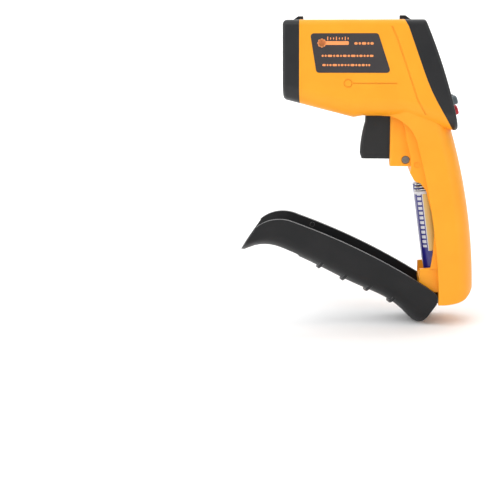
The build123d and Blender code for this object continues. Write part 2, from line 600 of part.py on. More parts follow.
def battery_door():
    floor = PIVOT_Z - CHEEK_RADIUS + DOOR_BOTTOM_WALL
    shell = door_body()
    for z in RIB_HEIGHTS:
        shell += finger_rib(z)
    shell &= across(door_outline(), -FAR, FAR)
    shell -= door_body(inset=DOOR_WALL) & block((-FAR, FAR), (-FAR, FAR), (floor, FAR))
    window = Plane(origin=(-FAR, 0, 0), x_dir=(0, 1, 0), z_dir=(1, 0, 0)) * outline(
        (-WINDOW_HALF_WIDTH, WINDOW_LOW), (WINDOW_HALF_WIDTH, WINDOW_LOW),
        (WINDOW_HALF_WIDTH, WINDOW_HIGH), (-WINDOW_HALF_WIDTH, WINDOW_HIGH),
    )
    window = fillet(window.vertices().group_by(Axis.Z)[0], WINDOW_CORNER)
    window = fillet(window.vertices().group_by(Axis.Z)[-1], 1.5)
    shell -= extrude(window, amount=FAR - 18)
    shell -= block((RELIEF_FRONT, 0), (-RELIEF_HALF_WIDTH, RELIEF_HALF_WIDTH), (WINDOW_LOW + 5, FAR))
    inner = GRIP_HALF_WIDTH - DOOR_WALL
    for side in (-1, 1):
        y_low, y_high = sorted((side * (inner + 0.5), side * (BAY_HALF_WIDTH + 0.2)))
        shell += pegs(HINGE_STUB_R, PIVOT_X, PIVOT_Z, y_low, y_high)
        y_low, y_high = sorted((side * (inner + 0.5), side * (inner - 0.2)))
        shell += pegs(DETENT_R - 0.3, *DETENT, y_low, y_high)
    return shell.rotate(Axis((PIVOT_X, 0, PIVOT_Z), (0, 1, 0)), -DOOR_OPEN_ANGLE)


# ---- cells and contacts ----
def cell(side, up):
    """One cell; side is the sign of its Y, up says whether its nub is on top."""
    body = Cylinder(CELL_R, CELL_LENGTH - CELL_NUB)
    body = fillet(body.edges(), 0.5) + Pos(0, 0, CELL_LENGTH / 2) * Cylinder(CELL_NUB_R, CELL_NUB)
    body = Pos(0, 0, -CELL_NUB / 2) * body
    turn = Rot(0, 0, 0) if up else Rot(180, 0, 0)
    shift = CELL_STAGGER if up else -CELL_STAGGER
    return BAY * Pos(0, side * CELL_SPACING / 2, shift) * turn * body


def contact_spring(side, end):
    """Conical coil between a cell's flat end and its plate; end is +1 at the top."""
    tall = BAY_HALF_LENGTH - CONTACT - (CELL_LENGTH / 2 - CELL_STAGGER)
    wire = 0.35
    coil = Helix(pitch=(tall - 2 * wire) / 3.5, height=tall - 2 * wire, radius=3.6, cone_angle=12)
    section = Plane(origin=coil @ 0, z_dir=coil % 0) * Circle(wire)
    turn = Rot(180, 0, 0) if end > 0 else Rot(0, 0, 0)
    start = end * (BAY_HALF_LENGTH - CONTACT - wire)
    return BAY * Pos(0, side * CELL_SPACING / 2, start) * turn * sweep(section, path=coil, is_frenet=True)


def contact_plate(y, end):
    low, high = sorted((end * BAY_HALF_LENGTH, end * (BAY_HALF_LENGTH - CONTACT)))
    return bay_block((-4.8, 4.8), y, (low, high))


def contact_nub(side, end):
    reach = CELL_LENGTH / 2 + CELL_STAGGER
    low, high = sorted((end * (BAY_HALF_LENGTH - CONTACT), end * reach))
    return BAY * Pos(0, side * CELL_SPACING / 2, (low + high) / 2) * Cylinder(1.8, high - low)


# ---- write every piece ----
def write(name, *solids):
    shape = solids[0] if len(solids) == 1 else Compound(children=list(solids))
    shape.label = name
    export_step(shape, f"parts/{name}.step")


def main():
    os.makedirs("parts", exist_ok=True)
    left, right = housing_halves()
    write("housing_left", left)
    write("housing_right", right)
    write("front_bezel", nose_cap())
    write("rear_bezel", rear_frame())
    write("housing_screws", *screws())
    write("label_left", label_shape(LABEL_THICKNESS, LABEL_THICKNESS - LABEL_RECESS))
    write("label_right", label_shape(LABEL_THICKNESS, LABEL_THICKNESS - LABEL_RECESS, 1))
    for name, solid in zip(("sensor_tube", "ir_lens", "thermopile", "sensor_board"), sensor_parts()):
        write(name, solid)
    for name, solid in zip(("laser_module", "laser_lens", "laser_board"), laser_parts()):
        write(name, solid)
    window, frame, lcd, light, strips = display_parts()
    write("display_window", window)
    write("lcd_frame", frame)
    write("lcd_panel", lcd)
    write("backlight", light)
    write("elastomer_strips", *strips)
    write("main_board", main_board())
    write("key_switches", *key_switches())
    for name, place, proud in zip(("button_left", "button_right", "button_laser"), key_places(), (2.6, 2.6, 1.9)):
        write(name, key(*place, proud))
    write("buzzer", rod(5.5, -46.0, -41.5, 70.0))
    write("trigger", trigger())
    write("trigger_spring", trigger_spring())
    write("trigger_switch", trigger_switch())
    write("battery_door", battery_door())
    write("battery_cell_near", cell(-1, False))
    write("battery_cell_far", cell(1, True))
    write("contact_spring_near", contact_spring(-1, 1))
    write("contact_spring_far", contact_spring(1, -1))
    near, far = (-BAY_HALF_WIDTH + 0.3, -0.4), (0.4, BAY_HALF_WIDTH - 0.3)
    write("contact_negative", contact_plate(near, 1))
    write("contact_positive", contact_plate(far, 1) + contact_nub(1, 1))
    write("contact_bridge", contact_plate((near[0], far[1]), -1) + contact_nub(-1, -1))


main()
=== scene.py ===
"""Looks of a handheld infrared thermometer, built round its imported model.

Lengths are metres unless a name or a docstring says millimetres. +Z is up and the lens looks along -X.
"""

import logging
import math
from dataclasses import dataclass, field
from enum import Enum

import bmesh
import bpy
import numpy as np
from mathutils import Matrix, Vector


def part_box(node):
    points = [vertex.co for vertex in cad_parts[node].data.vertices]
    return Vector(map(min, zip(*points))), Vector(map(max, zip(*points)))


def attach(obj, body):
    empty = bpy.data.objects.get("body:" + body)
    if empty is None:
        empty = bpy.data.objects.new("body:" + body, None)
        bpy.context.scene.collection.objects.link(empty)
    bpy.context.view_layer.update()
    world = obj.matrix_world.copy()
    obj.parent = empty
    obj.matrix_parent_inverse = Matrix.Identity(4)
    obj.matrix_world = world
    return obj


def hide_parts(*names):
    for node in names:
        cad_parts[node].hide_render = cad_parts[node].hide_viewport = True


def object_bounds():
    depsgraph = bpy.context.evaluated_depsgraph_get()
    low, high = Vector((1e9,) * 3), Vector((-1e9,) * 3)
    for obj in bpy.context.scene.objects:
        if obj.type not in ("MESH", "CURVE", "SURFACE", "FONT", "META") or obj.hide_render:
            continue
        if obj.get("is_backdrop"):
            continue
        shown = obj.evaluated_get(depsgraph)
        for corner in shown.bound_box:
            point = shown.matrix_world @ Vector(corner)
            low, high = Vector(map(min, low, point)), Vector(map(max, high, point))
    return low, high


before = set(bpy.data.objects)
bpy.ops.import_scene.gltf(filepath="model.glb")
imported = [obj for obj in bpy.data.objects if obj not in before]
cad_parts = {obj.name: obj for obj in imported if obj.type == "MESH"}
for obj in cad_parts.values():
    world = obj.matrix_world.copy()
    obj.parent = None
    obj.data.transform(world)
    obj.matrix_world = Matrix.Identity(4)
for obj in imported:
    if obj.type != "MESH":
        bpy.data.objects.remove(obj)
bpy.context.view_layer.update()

log = logging.getLogger("thermometer")
MM = 0.001
Colour = tuple[float, float, float]
Triple = tuple[float, float, float]


class Body(Enum):
    """The bodies that pieces ride on."""

    ROOT = "root"
    DOOR = "battery_door"
    TRIGGER = "trigger"
    LEFT_KEY = "button_left"
    RIGHT_KEY = "button_right"
    LASER_KEY = "button_laser"


class Side(Enum):
    """The two flanks of the instrument, as the sign of Y."""

    NEAR = -1
    FAR = 1


class Output(Enum):
    """What a shared shader group puts out."""

    HEIGHT = "Height"
    MASK = "Mask"


# ---- shader plumbing ----
class Nodes:
    """A thin typed wrapper round a node tree."""

    def __init__(self, tree: bpy.types.NodeTree) -> None:
        """Keeps the tree.

        Args:
            tree: The node tree to add to.
        """
        self.tree = tree

    def add(self, kind: str, **settings: object) -> bpy.types.Node:
        """Adds a node and sets its properties.

        Args:
            kind: The node's class name.
            settings: Properties of the node.

        Returns:
            The new node.
        """
        node = self.tree.nodes.new(kind)
        for name, value in settings.items():
            setattr(node, name, value)
        return node

    def join(self, source: bpy.types.NodeSocket, target: bpy.types.NodeSocket) -> None:
        """Links one socket to another."""
        self.tree.links.new(source, target)

    def feed(self, socket: bpy.types.NodeSocket, value: object) -> None:
        """Links a socket to another socket, or sets a number or colour on it.

        Args:
            socket: The input to feed.
            value: A socket, a number or a tuple.
        """
        if isinstance(value, bpy.types.NodeSocket):
            self.join(value, socket)
        else:
            socket.default_value = value

    def maths(self, operation: str, first: object, second: object = 0.0) -> bpy.types.NodeSocket:
        """Adds a Math node.

        Args:
            operation: The node's operation.
            first: First operand, a socket or a number.
            second: Second operand, a socket or a number.

        Returns:
            The node's value.
        """
        node = self.add("ShaderNodeMath", operation=operation)
        self.feed(node.inputs[0], first)
        self.feed(node.inputs[1], second)
        return node.outputs[0]

    def near(self, value: object, middle: float, half: float) -> bpy.types.NodeSocket:
        """Marks where a value is close to a number.

        Args:
            value: The value to test.
            middle: The number.
            half: Largest distance from it.

        Returns:
            1 where the value is that close, otherwise 0.
        """
        close = self.maths("COMPARE", value, middle)
        close.node.inputs[2].default_value = half
        return close

    def ramp(self, value: bpy.types.NodeSocket, low: float, high: float) -> bpy.types.NodeSocket:
        """Maps a range smoothly to 0 to 1.

        Args:
            value: The value to map.
            low: What becomes 0.
            high: What becomes 1.

        Returns:
            The mapped value.
        """
        node = self.add("ShaderNodeMapRange", interpolation_type="SMOOTHSTEP")
        self.join(value, node.inputs["Value"])
        node.inputs["From Min"].default_value = low
        node.inputs["From Max"].default_value = high
        return node.outputs["Result"]

    def blend(self, amount: object, first: object, second: object) -> bpy.types.NodeSocket:
        """Mixes two colours.

        Args:
            amount: Share of the second colour.
            first: First colour, a socket or RGBA.
            second: Second colour, a socket or RGBA.

        Returns:
            The mixed colour.
        """
        node = self.add("ShaderNodeMix", data_type="RGBA")
        self.feed(node.inputs[0], amount)
        self.feed(node.inputs[6], first)
        self.feed(node.inputs[7], second)
        return node.outputs[2]


def shader_group(name: str, inputs: dict[str, float]) -> tuple[Nodes, bpy.types.Node, bpy.types.Node]:
    """Starts a shader group that works on object coordinates.

    Args:
        name: The group's name.
        inputs: Float inputs and their defaults.

    Returns:
        The tree's wrapper, its input node and its output node.
    """
    tree = bpy.data.node_groups.new(name, "ShaderNodeTree")
    for label, default in inputs.items():
        tree.interface.new_socket(name=label, in_out="INPUT", socket_type="NodeSocketFloat").default_value = default
    for output in Output:
        tree.interface.new_socket(name=output.value, in_out="OUTPUT", socket_type="NodeSocketFloat")
    nodes = Nodes(tree)
    return nodes, nodes.add("NodeGroupInput"), nodes.add("NodeGroupOutput")


PIT_DETAIL, RIPPLE_DETAIL, RIPPLE_SHARE = 3.0, 2.0, 0.35
PIT_RANGE, RIPPLE_RANGE = (0.35, 0.65), (0.3, 0.7)


def moulded_grain_group() -> bpy.types.NodeTree:
    """Spark-eroded mould texture: fine round pits over a slow ripple, and a mask of where the pits crowd.

    Returns:
        The group's tree.
    """
    nodes, start, end = shader_group("moulded_grain", {"Pits": 2600.0, "Ripple": 60.0})
    place = nodes.add("ShaderNodeTexCoord").outputs["Object"]
    pits = nodes.add("ShaderNodeTexNoise", noise_dimensions="3D")
    ripple = nodes.add("ShaderNodeTexNoise", noise_dimensions="3D")
    pits.inputs["Detail"].default_value, ripple.inputs["Detail"].default_value = PIT_DETAIL, RIPPLE_DETAIL
    for node, label in ((pits, "Pits"), (ripple, "Ripple")):
        nodes.join(place, node.inputs["Vector"])
        nodes.join(start.outputs[label], node.inputs["Scale"])
    rough = nodes.ramp(pits.outputs[0], *PIT_RANGE)
    slow = nodes.maths("MULTIPLY", ripple.outputs[0], RIPPLE_SHARE)
    nodes.join(nodes.maths("ADD", rough, slow), end.inputs[Output.HEIGHT.value])
    nodes.join(nodes.ramp(ripple.outputs[0], *RIPPLE_RANGE), end.inputs[Output.MASK.value])
    return nodes.tree


SCUFF_LEAN, SCUFF_STRETCH, SCUFF_DETAIL = (0.3, 0.7, 0.2), (1.0, 1.0, 9.0), 4.0
DUST_SCALE = 35.0
SCUFF_RANGE, DUST_RANGE = (0.62, 0.72), (0.4, 0.75)


def handling_group() -> bpy.types.NodeTree:
    """Handling marks: sparse fine scuffs where stretched noise peaks, and a soft dusting mask.

    Returns:
        The group's tree.
    """
    nodes, start, end = shader_group("handling_marks", {"Scale": 90.0, "Amount": 1.0})
    place = nodes.add("ShaderNodeTexCoord").outputs["Object"]
    lean = nodes.add("ShaderNodeMapping")
    lean.inputs["Rotation"].default_value = SCUFF_LEAN
    lean.inputs["Scale"].default_value = SCUFF_STRETCH
    nodes.join(place, lean.inputs["Vector"])
    scuffs = nodes.add("ShaderNodeTexNoise")
    scuffs.inputs["Detail"].default_value = SCUFF_DETAIL
    nodes.join(lean.outputs[0], scuffs.inputs["Vector"])
    nodes.join(start.outputs["Scale"], scuffs.inputs["Scale"])
    dust = nodes.add("ShaderNodeTexNoise")
    dust.inputs["Scale"].default_value = DUST_SCALE
    nodes.join(place, dust.inputs["Vector"])
    for noise, span, output in ((scuffs, SCUFF_RANGE, Output.HEIGHT), (dust, DUST_RANGE, Output.MASK)):
        marks = nodes.maths("MULTIPLY", nodes.ramp(noise.outputs[0], *span), start.outputs["Amount"])
        nodes.join(marks, end.inputs[output.value])
    return nodes.tree


class SharedGroups:
    """The shader groups that several finishes use, each built once."""

    def __init__(self) -> None:
        """Builds the groups."""
        self.grain = moulded_grain_group()
        self.handling = handling_group()


@dataclass(frozen=True)
class Finish:
    """One moulded or metal finish.

    Each finish drifts between two tones, has grain in its bump and slight scuffs in its roughness, and may carry a
    painted highlight, a lighter colour along sharp edges.
    """

    name: str
    tone: Colour
    drift: Colour
    roughness: float
    metallic: float = 0.0
    pits: float = 2600.0
    grain_depth: float = 0.00002
    scuff: float = 0.06
    coat: float = 0.0
    sheen: float = 0.0
    edge_radius: float = 0.0
    # Colour of a painted highlight mixed in along sharp edges, as if they caught the light.
    painted_edge_highlight: Colour = (0.0, 0.0, 0.0)
    edge_span: tuple[float, float] = (0.02, 0.22)
    edge_samples: int = 4
    bump_strength: float = 0.6
    coat_roughness: float = 0.25
    specular: float = 0.5

    def material(self, groups: SharedGroups) -> bpy.types.Material:
        """Builds the material.

        Args:
            groups: The shared shader groups.

        Returns:
            The node material.
        """
        material, nodes, shader = start_material(self.name)
        grain = nodes.add("ShaderNodeGroup", node_tree=groups.grain)
        grain.inputs["Pits"].default_value = self.pits
        marks = nodes.add("ShaderNodeGroup", node_tree=groups.handling)
        drifting = nodes.blend(grain.outputs[Output.MASK.value], (*self.tone, 1), (*self.drift, 1))
        colour = self.decorate(nodes, drifting)
        scuffed = nodes.maths("MULTIPLY", marks.outputs[Output.MASK.value], self.scuff)
        scratched = nodes.maths("MULTIPLY", marks.outputs[Output.HEIGHT.value], self.scuff)
        rough = nodes.maths("ADD", nodes.maths("ADD", scuffed, scratched), self.roughness)
        nodes.join(rough, shader.inputs["Roughness"])
        bump = nodes.add("ShaderNodeBump")
        bump.inputs["Distance"].default_value = self.grain_depth
        bump.inputs["Strength"].default_value = self.bump_strength
        nodes.join(grain.outputs[Output.HEIGHT.value], bump.inputs["Height"])
        if self.edge_radius:
            edge = nodes.add("ShaderNodeBevel", samples=self.edge_samples)
            edge.inputs["Radius"].default_value = self.edge_radius
            nodes.join(edge.outputs[0], bump.inputs["Normal"])
            # Painted highlight: sharp edges are mixed towards a lighter colour, standing in for light caught on the
            # edge.
            if any(self.painted_edge_highlight):
                colour = nodes.blend(self.edge_mask(nodes, edge.outputs[0]), colour, (*self.painted_edge_highlight, 1))
        nodes.join(colour, shader.inputs["Base Color"])
        nodes.join(bump.outputs[0], shader.inputs["Normal"])
        shader.inputs["Metallic"].default_value = self.metallic
        shader.inputs["Coat Weight"].default_value = self.coat
        shader.inputs["Coat Roughness"].default_value = self.coat_roughness
        shader.inputs["Sheen Weight"].default_value = self.sheen
        shader.inputs["Specular IOR Level"].default_value = self.specular
        return material

    def edge_mask(self, nodes: Nodes, rounded: bpy.types.NodeSocket) -> bpy.types.NodeSocket:
        """Where a rounded normal leaves the true one, which is along sharp edges. This is where the painted edge
        highlight goes.

        Args:
            nodes: The material's node wrapper.
            rounded: The rounded normal.

        Returns:
            A mask, 1 on an edge.
        """
        turn = nodes.add("ShaderNodeVectorMath", operation="DOT_PRODUCT")
        nodes.join(rounded, turn.inputs[0])
        nodes.join(nodes.add("ShaderNodeNewGeometry").outputs["Normal"], turn.inputs[1])
        return nodes.ramp(nodes.maths("SUBTRACT", 1.0, turn.outputs["Value"]), *self.edge_span)

    def decorate(self, nodes: Nodes, colour: bpy.types.NodeSocket) -> bpy.types.NodeSocket:
        """The plain finish adds nothing to its colour."""
        return colour


@dataclass(frozen=True)
class CellWrap(Finish):
    """The printed film of one cell: a gold half, a dark blue half and a dark band at the nub end."""

    middle: Triple = (0.0, 0.0, 0.0)
    tilt: float = 0.0
    nub: int = 1
    gold: Colour = (0.62, 0.42, 0.13)
    blue: Colour = (0.012, 0.008, 0.16)
    silver: Colour = (0.55, 0.55, 0.58)
    band_start: float = 0.0102
    divide: float = -0.0014
    divide_half: float = 0.00022
    end_steel: float = 0.0207
    dash_pitch: float = 0.0026
    dash_half: float = 0.0008
    dash_run: float = 0.03
    dash_margin: float = 0.002
    lane: float = -0.0031
    lane_half: float = 0.0010

    def decorate(self, nodes: Nodes, colour: bpy.types.NodeSocket) -> bpy.types.NodeSocket:
        """Paints the bands along and round the cell.

        Args:
            nodes: The material's node wrapper.
            colour: The plain colour, which the print covers.

        Returns:
            The printed colour.
        """
        place = nodes.add("ShaderNodeTexCoord").outputs["Object"]
        upright = nodes.add("ShaderNodeMapping", vector_type="TEXTURE")
        upright.inputs["Location"].default_value = self.middle
        upright.inputs["Rotation"].default_value = (0.0, self.tilt, 0.0)
        nodes.join(place, upright.inputs["Vector"])
        split = nodes.add("ShaderNodeSeparateXYZ")
        nodes.join(upright.outputs[0], split.inputs[0])
        along = nodes.maths("MULTIPLY", split.outputs[2], float(self.nub))
        across = split.outputs[0]
        printed = nodes.blend(nodes.maths("GREATER_THAN", across, self.divide), (*self.blue, 1), (*self.gold, 1))
        stripe = nodes.near(across, self.divide, self.divide_half)
        printed = nodes.blend(stripe, printed, (*self.silver, 1))
        repeat = nodes.maths("MODULO", nodes.maths("ADD", along, self.dash_run), self.dash_pitch)
        rule = nodes.near(repeat, self.dash_pitch / 2, self.dash_half)
        lane = nodes.near(across, self.lane, self.lane_half)
        inside = nodes.maths("LESS_THAN", along, self.band_start - self.dash_margin)
        dashes = nodes.maths("MULTIPLY", nodes.maths("MULTIPLY", rule, lane), inside)
        printed = nodes.blend(dashes, printed, (*self.silver, 1))
        printed = nodes.blend(nodes.maths("GREATER_THAN", along, self.band_start), printed, (*self.blue, 1))
        ends = nodes.maths("GREATER_THAN", nodes.maths("ABSOLUTE", along), self.end_steel)
        return nodes.blend(ends, printed, (*self.silver, 1))


def start_material(name: str) -> tuple[bpy.types.Material, Nodes, bpy.types.Node]:
    """Starts a node material with one Principled shader.

    Args:
        name: The material's name.

    Returns:
        The material, its node wrapper and its shader.
    """
    material = bpy.data.materials.new(name)
    material.use_nodes = True
    material.node_tree.nodes.clear()
    nodes = Nodes(material.node_tree)
    shader = nodes.add("ShaderNodeBsdfPrincipled")
    nodes.join(shader.outputs[0], nodes.add("ShaderNodeOutputMaterial").inputs[0])
    return material, nodes, shader


@dataclass(frozen=True)
class ClearFinish:
    """A clear or tinted glassy finish."""

    name: str
    tint: Colour
    roughness: float = 0.03
    ior: float = 1.46
    haze: float = 0.03
    haze_tint: float = 0.96

    def material(self, groups: SharedGroups) -> bpy.types.Material:
        """Builds the material.

        Args:
            groups: The shared shader groups.

        Returns:
            The node material.
        """
        material, nodes, shader = start_material(self.name)
        marks = nodes.add("ShaderNodeGroup", node_tree=groups.handling)
        haze = nodes.maths("MULTIPLY", marks.outputs[Output.MASK.value], self.haze)
        nodes.join(nodes.maths("ADD", haze, self.roughness), shader.inputs["Roughness"])
        dulled = (*(self.haze_tint * channel for channel in self.tint), 1)
        tint = nodes.blend(marks.outputs[Output.MASK.value], (*self.tint, 1), dulled)
        nodes.join(tint, shader.inputs["Base Color"])
        shader.inputs["Transmission Weight"].default_value = 1.0
        shader.inputs["IOR"].default_value = self.ior
        return material


BAY_TILT = math.radians(-8.0)
BAY_MIDDLE_X, BAY_MIDDLE_Z = -0.0018, -0.0085
CELL_ACROSS, CELL_SHIFT = 0.0055, 0.0022


def cell_wrap(side: Side) -> CellWrap:
    """The film of one cell. The cells lie side by side in the tilted bay, each moved a little towards its nub.

    Args:
        side: The cell's side. The near cell's nub points down and the far one's points up.

    Returns:
        The cell's finish.
    """
    middle = (
        BAY_MIDDLE_X + side.value * math.sin(BAY_TILT) * CELL_SHIFT,
        side.value * CELL_ACROSS,
        BAY_MIDDLE_Z + side.value * math.cos(BAY_TILT) * CELL_SHIFT,
    )
    return CellWrap("cell_wrap_" + side.name.lower(), (0.6, 0.6, 0.6), (0.5, 0.5, 0.5), 0.3, coat=0.5,
                    nub=side.value, tilt=BAY_TILT, middle=middle)


class Palette:
    """Every material of the instrument, by name."""

    def __init__(self) -> None:
        """Builds the shared groups and the finishes."""
        groups = SharedGroups()
        finishes = [
            Finish("orange_shell", (0.95, 0.375, 0.014), (0.93, 0.355, 0.012), 0.42, pits=2100,
                   grain_depth=0.000012, edge_radius=0.00035, specular=0.35),
            # The black finishes carry a painted highlight, a lighter colour along their sharp edges. The door's is the
            # brightest.
            Finish("black_shell", (0.009, 0.0095, 0.011), (0.013, 0.013, 0.014), 0.34, pits=1500,
                   grain_depth=0.000030, edge_radius=0.0004, painted_edge_highlight=(0.03, 0.03, 0.032), specular=0.42),
            Finish("door_black", (0.005, 0.0055, 0.0065), (0.008, 0.008, 0.009), 0.42, pits=1500,
                   grain_depth=0.000030, edge_radius=0.0004, painted_edge_highlight=(0.14, 0.14, 0.145), specular=0.32),
            Finish("trigger_black", (0.009, 0.009, 0.010), (0.012, 0.012, 0.012), 0.34, pits=1500,
                   grain_depth=0.000030, edge_radius=0.0005, painted_edge_highlight=(0.08, 0.08, 0.085), specular=0.4),
            Finish("label_film", (0.030, 0.025, 0.027), (0.036, 0.030, 0.032), 0.6, pits=900, grain_depth=0.000004),
            Finish("label_ink", (0.95, 0.33, 0.10), (0.90, 0.30, 0.09), 0.5, pits=900, grain_depth=0.000003),
            Finish("key_grey", (0.085, 0.115, 0.130), (0.095, 0.125, 0.140), 0.55, pits=1200, sheen=0.15),
            Finish("key_red", (0.55, 0.012, 0.025), (0.60, 0.018, 0.030), 0.5, pits=1200, sheen=0.15),
            Finish("key_ink", (0.75, 0.76, 0.76), (0.70, 0.71, 0.71), 0.5),
            Finish("screw_steel", (0.30, 0.26, 0.23), (0.22, 0.19, 0.17), 0.36, metallic=1.0, scuff=0.2),
            Finish("tube_black", (0.010, 0.010, 0.010), (0.014, 0.014, 0.014), 0.7),
            Finish("can_metal", (0.62, 0.61, 0.57), (0.52, 0.51, 0.48), 0.28, metallic=1.0, scuff=0.2),
            Finish("board_green", (0.012, 0.13, 0.045), (0.020, 0.16, 0.060), 0.35, coat=0.4),
            Finish("brass", (0.80, 0.56, 0.22), (0.70, 0.48, 0.18), 0.3, metallic=1.0, scuff=0.2),
            Finish("display_grey", (0.30, 0.35, 0.29), (0.33, 0.38, 0.31), 0.25, pits=600, grain_depth=0.000002),
            Finish("segment_black", (0.012, 0.014, 0.012), (0.016, 0.018, 0.016), 0.4),
            Finish("white_plastic", (0.80, 0.80, 0.77), (0.76, 0.76, 0.73), 0.5),
            Finish("elastomer", (0.55, 0.48, 0.48), (0.50, 0.44, 0.44), 0.7),
            Finish("switch_black", (0.030, 0.030, 0.032), (0.036, 0.036, 0.038), 0.5),
            Finish("spring_steel", (0.62, 0.61, 0.58), (0.52, 0.51, 0.49), 0.22, metallic=1.0, scuff=0.15),
            Finish("contact_nickel", (0.68, 0.66, 0.60), (0.58, 0.56, 0.51), 0.27, metallic=1.0, scuff=0.2),
            cell_wrap(Side.NEAR),
            cell_wrap(Side.FAR),
            ClearFinish("window_clear", (0.93, 0.95, 0.94)),
            ClearFinish("lens_smoke", (0.10, 0.09, 0.11), 0.08, 1.7),
        ]
        self.made = {finish.name: finish.material(groups) for finish in finishes}

    def __getitem__(self, name: str) -> bpy.types.Material:
        """The material of that name."""
        return self.made[name]


# ---- pieces ----
WELD, SLIVER = 2e-6, 1e-7
CORNER_STEPS, CORNER_SHARE, CORNER_LIMIT = 6, 0.98, 0.6


def finish_piece(obj: bpy.types.Object, body: Body, material: bpy.types.Material) -> None:
    """Gives a piece its material and slot, and lets it ride on a body.

    Args:
        obj: The piece, in place.
        body: The body that it rides on.
        material: What it is painted with.
    """
    obj.data.materials.clear()
    obj.data.materials.append(material)
    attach(obj, body.value)
    log.info("%s: %d faces on %s", obj.name, len(obj.data.polygons), body.value)


def place_mesh(name: str, mesh: bpy.types.Mesh) -> bpy.types.Object:
    """Puts a mesh into the scene as a new object."""
    obj = bpy.data.objects.new(name, mesh)
    bpy.context.scene.collection.objects.link(obj)
    return obj


def smooth_copy(node: str, name: str, angle: float) -> bpy.types.Object:
    """A welded copy of a CAD node, smooth where neighbouring faces turn by less than an angle.

    Args:
        node: The CAD node.
        name: The new piece's name.
        angle: Largest smooth turn between faces, in degrees.

    Returns:
        The new piece, not yet dressed.
    """
    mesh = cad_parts[node].data.copy()
    mesh.name = name
    welded = bmesh.new()
    welded.from_mesh(mesh)
    bmesh.ops.remove_doubles(welded, verts=welded.verts, dist=WELD)
    bmesh.ops.dissolve_degenerate(welded, edges=welded.edges, dist=SLIVER)
    welded.to_mesh(mesh)
    welded.free()
    mesh.polygons.foreach_set("use_smooth", np.ones(len(mesh.polygons), bool))
    if "custom_normal" in mesh.attributes:
        mesh.attributes.remove(mesh.attributes["custom_normal"])
    mesh.set_sharp_from_angle(angle=math.radians(angle))
    obj = place_mesh(name, mesh)
    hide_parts(node)
    return obj


def mesh_piece(name: str, points: np.ndarray, faces: list[list[int]], smooth: bool = False) -> bpy.types.Object:
    """Puts worked-out points and faces into a new piece.

    Args:
        name: The piece's name.
        points: Points in metres, one row each.
        faces: Corner indices of each face.
        smooth: Whether faces are shaded smooth.

    Returns:
        The new piece, not yet dressed.
    """
    mesh = bpy.data.meshes.new(name)
    mesh.from_pydata(points.tolist(), [], faces)
    mesh.update()
    mesh.polygons.foreach_set("use_smooth", np.full(len(mesh.polygons), smooth))
    return place_mesh(name, mesh)


@dataclass(frozen=True)
class Print:
    """A flat printed mark: a rounded bar in the plane of what it is printed on, in millimetres."""

    across: float
    up: float
    width: float
    height: float
    turn: float = 0.0


def printed_marks(name: str, prints: list[Print], origin: np.ndarray, right: np.ndarray, up: np.ndarray,
                  proud: float) -> bpy.types.Object:
    """Thin rounded plates on a plane.

    Each outline is a rectangle whose corners are quarter circles: a circle of points pushed out by the
    half size less the radius, towards the sign of its cosine and sine. The top ring is the bottom ring moved
    out along the plane's normal.

    Args:
        name: The piece's name.
        prints: The marks, in millimetres on the plane.
        origin: A point of the plane, in metres.
        right: Unit vector along the plane.
        up: Unit vector up the plane.
        proud: How far the marks stand out, in metres.

    Returns:
        The new piece, not yet dressed.
    """
    out = np.cross(right, up)
    marks = np.array([(p.across, p.up, p.width / 2, p.height / 2, math.radians(p.turn)) for p in prints])
    count = 4 * CORNER_STEPS
    quarter = np.repeat(np.arange(4), CORNER_STEPS)
    angle = (quarter + np.tile(np.linspace(0, 1, CORNER_STEPS), 4)) * math.pi / 2
    diagonal = (quarter + 0.5) * math.pi / 2
    sign = np.sign(np.stack([np.cos(diagonal), np.sin(diagonal)], 1))
    radius = np.minimum(marks[:, 2:4].min(1) * CORNER_SHARE, CORNER_LIMIT)[:, None, None]
    ring = np.stack([np.cos(angle), np.sin(angle)], 1)[None] * radius + sign[None] * (marks[:, None, 2:4] - radius)
    cos, sin = np.cos(marks[:, 4])[:, None], np.sin(marks[:, 4])[:, None]
    u = marks[:, :1] + ring[..., 0] * cos - ring[..., 1] * sin
    v = marks[:, 1:2] + ring[..., 0] * sin + ring[..., 1] * cos
    base = origin + u[..., None] * MM * right + v[..., None] * MM * up
    points = np.concatenate([base, base + out * proud], 1).reshape(-1, 3)
    start = (np.arange(len(marks)) * 2 * count)[:, None]
    index, following = np.arange(count)[None], np.roll(np.arange(count), -1)[None]
    corners = (start + index, start + following, start + count + following, start + count + index)
    walls = np.stack(corners, 2).reshape(-1, 4)
    tops = start + count + np.arange(count)[None]
    bottoms = start + np.arange(count)[None, ::-1]
    return mesh_piece(name, points, walls.tolist() + tops.tolist() + bottoms.tolist())


@dataclass(frozen=True)
class Dress:
    """What one CAD node wears: its material slot, its finish and the body that it rides on."""

    slot: str
    finish: str
    body: Body = Body.ROOT


def dress_nodes(parts: dict[str, Dress], palette: Palette, angle: float, ending: str = "_skin") -> None:
    """Replaces CAD nodes with smooth copies in their finishes.

    Args:
        parts: What each node wears.
        palette: The materials.
        angle: Largest smooth turn between faces, in degrees.
        ending: What a node's name gains in its piece's name.
    """
    for node, dress in parts.items():
        finish_piece(smooth_copy(node, node + ending, angle), dress.body, palette[dress.finish])


@dataclass
class Shell:
    """The two orange halves, the black nose cap, the black rear frame and the screws."""

    angle: float = 28.0
    parts: dict[str, Dress] = field(default_factory=lambda: {
        "housing_left": Dress("orange_shell", "orange_shell"),
        "housing_right": Dress("orange_shell", "orange_shell"),
        "front_bezel": Dress("black_plastic", "black_shell"),
        "rear_bezel": Dress("black_plastic", "black_shell"),
        "housing_screws": Dress("screw_steel", "screw_steel"),
    })

    def build(self, palette: Palette) -> None:
        """Dresses the shell's pieces.

        Args:
            palette: The materials.
        """
        dress_nodes(self.parts, palette, self.angle)


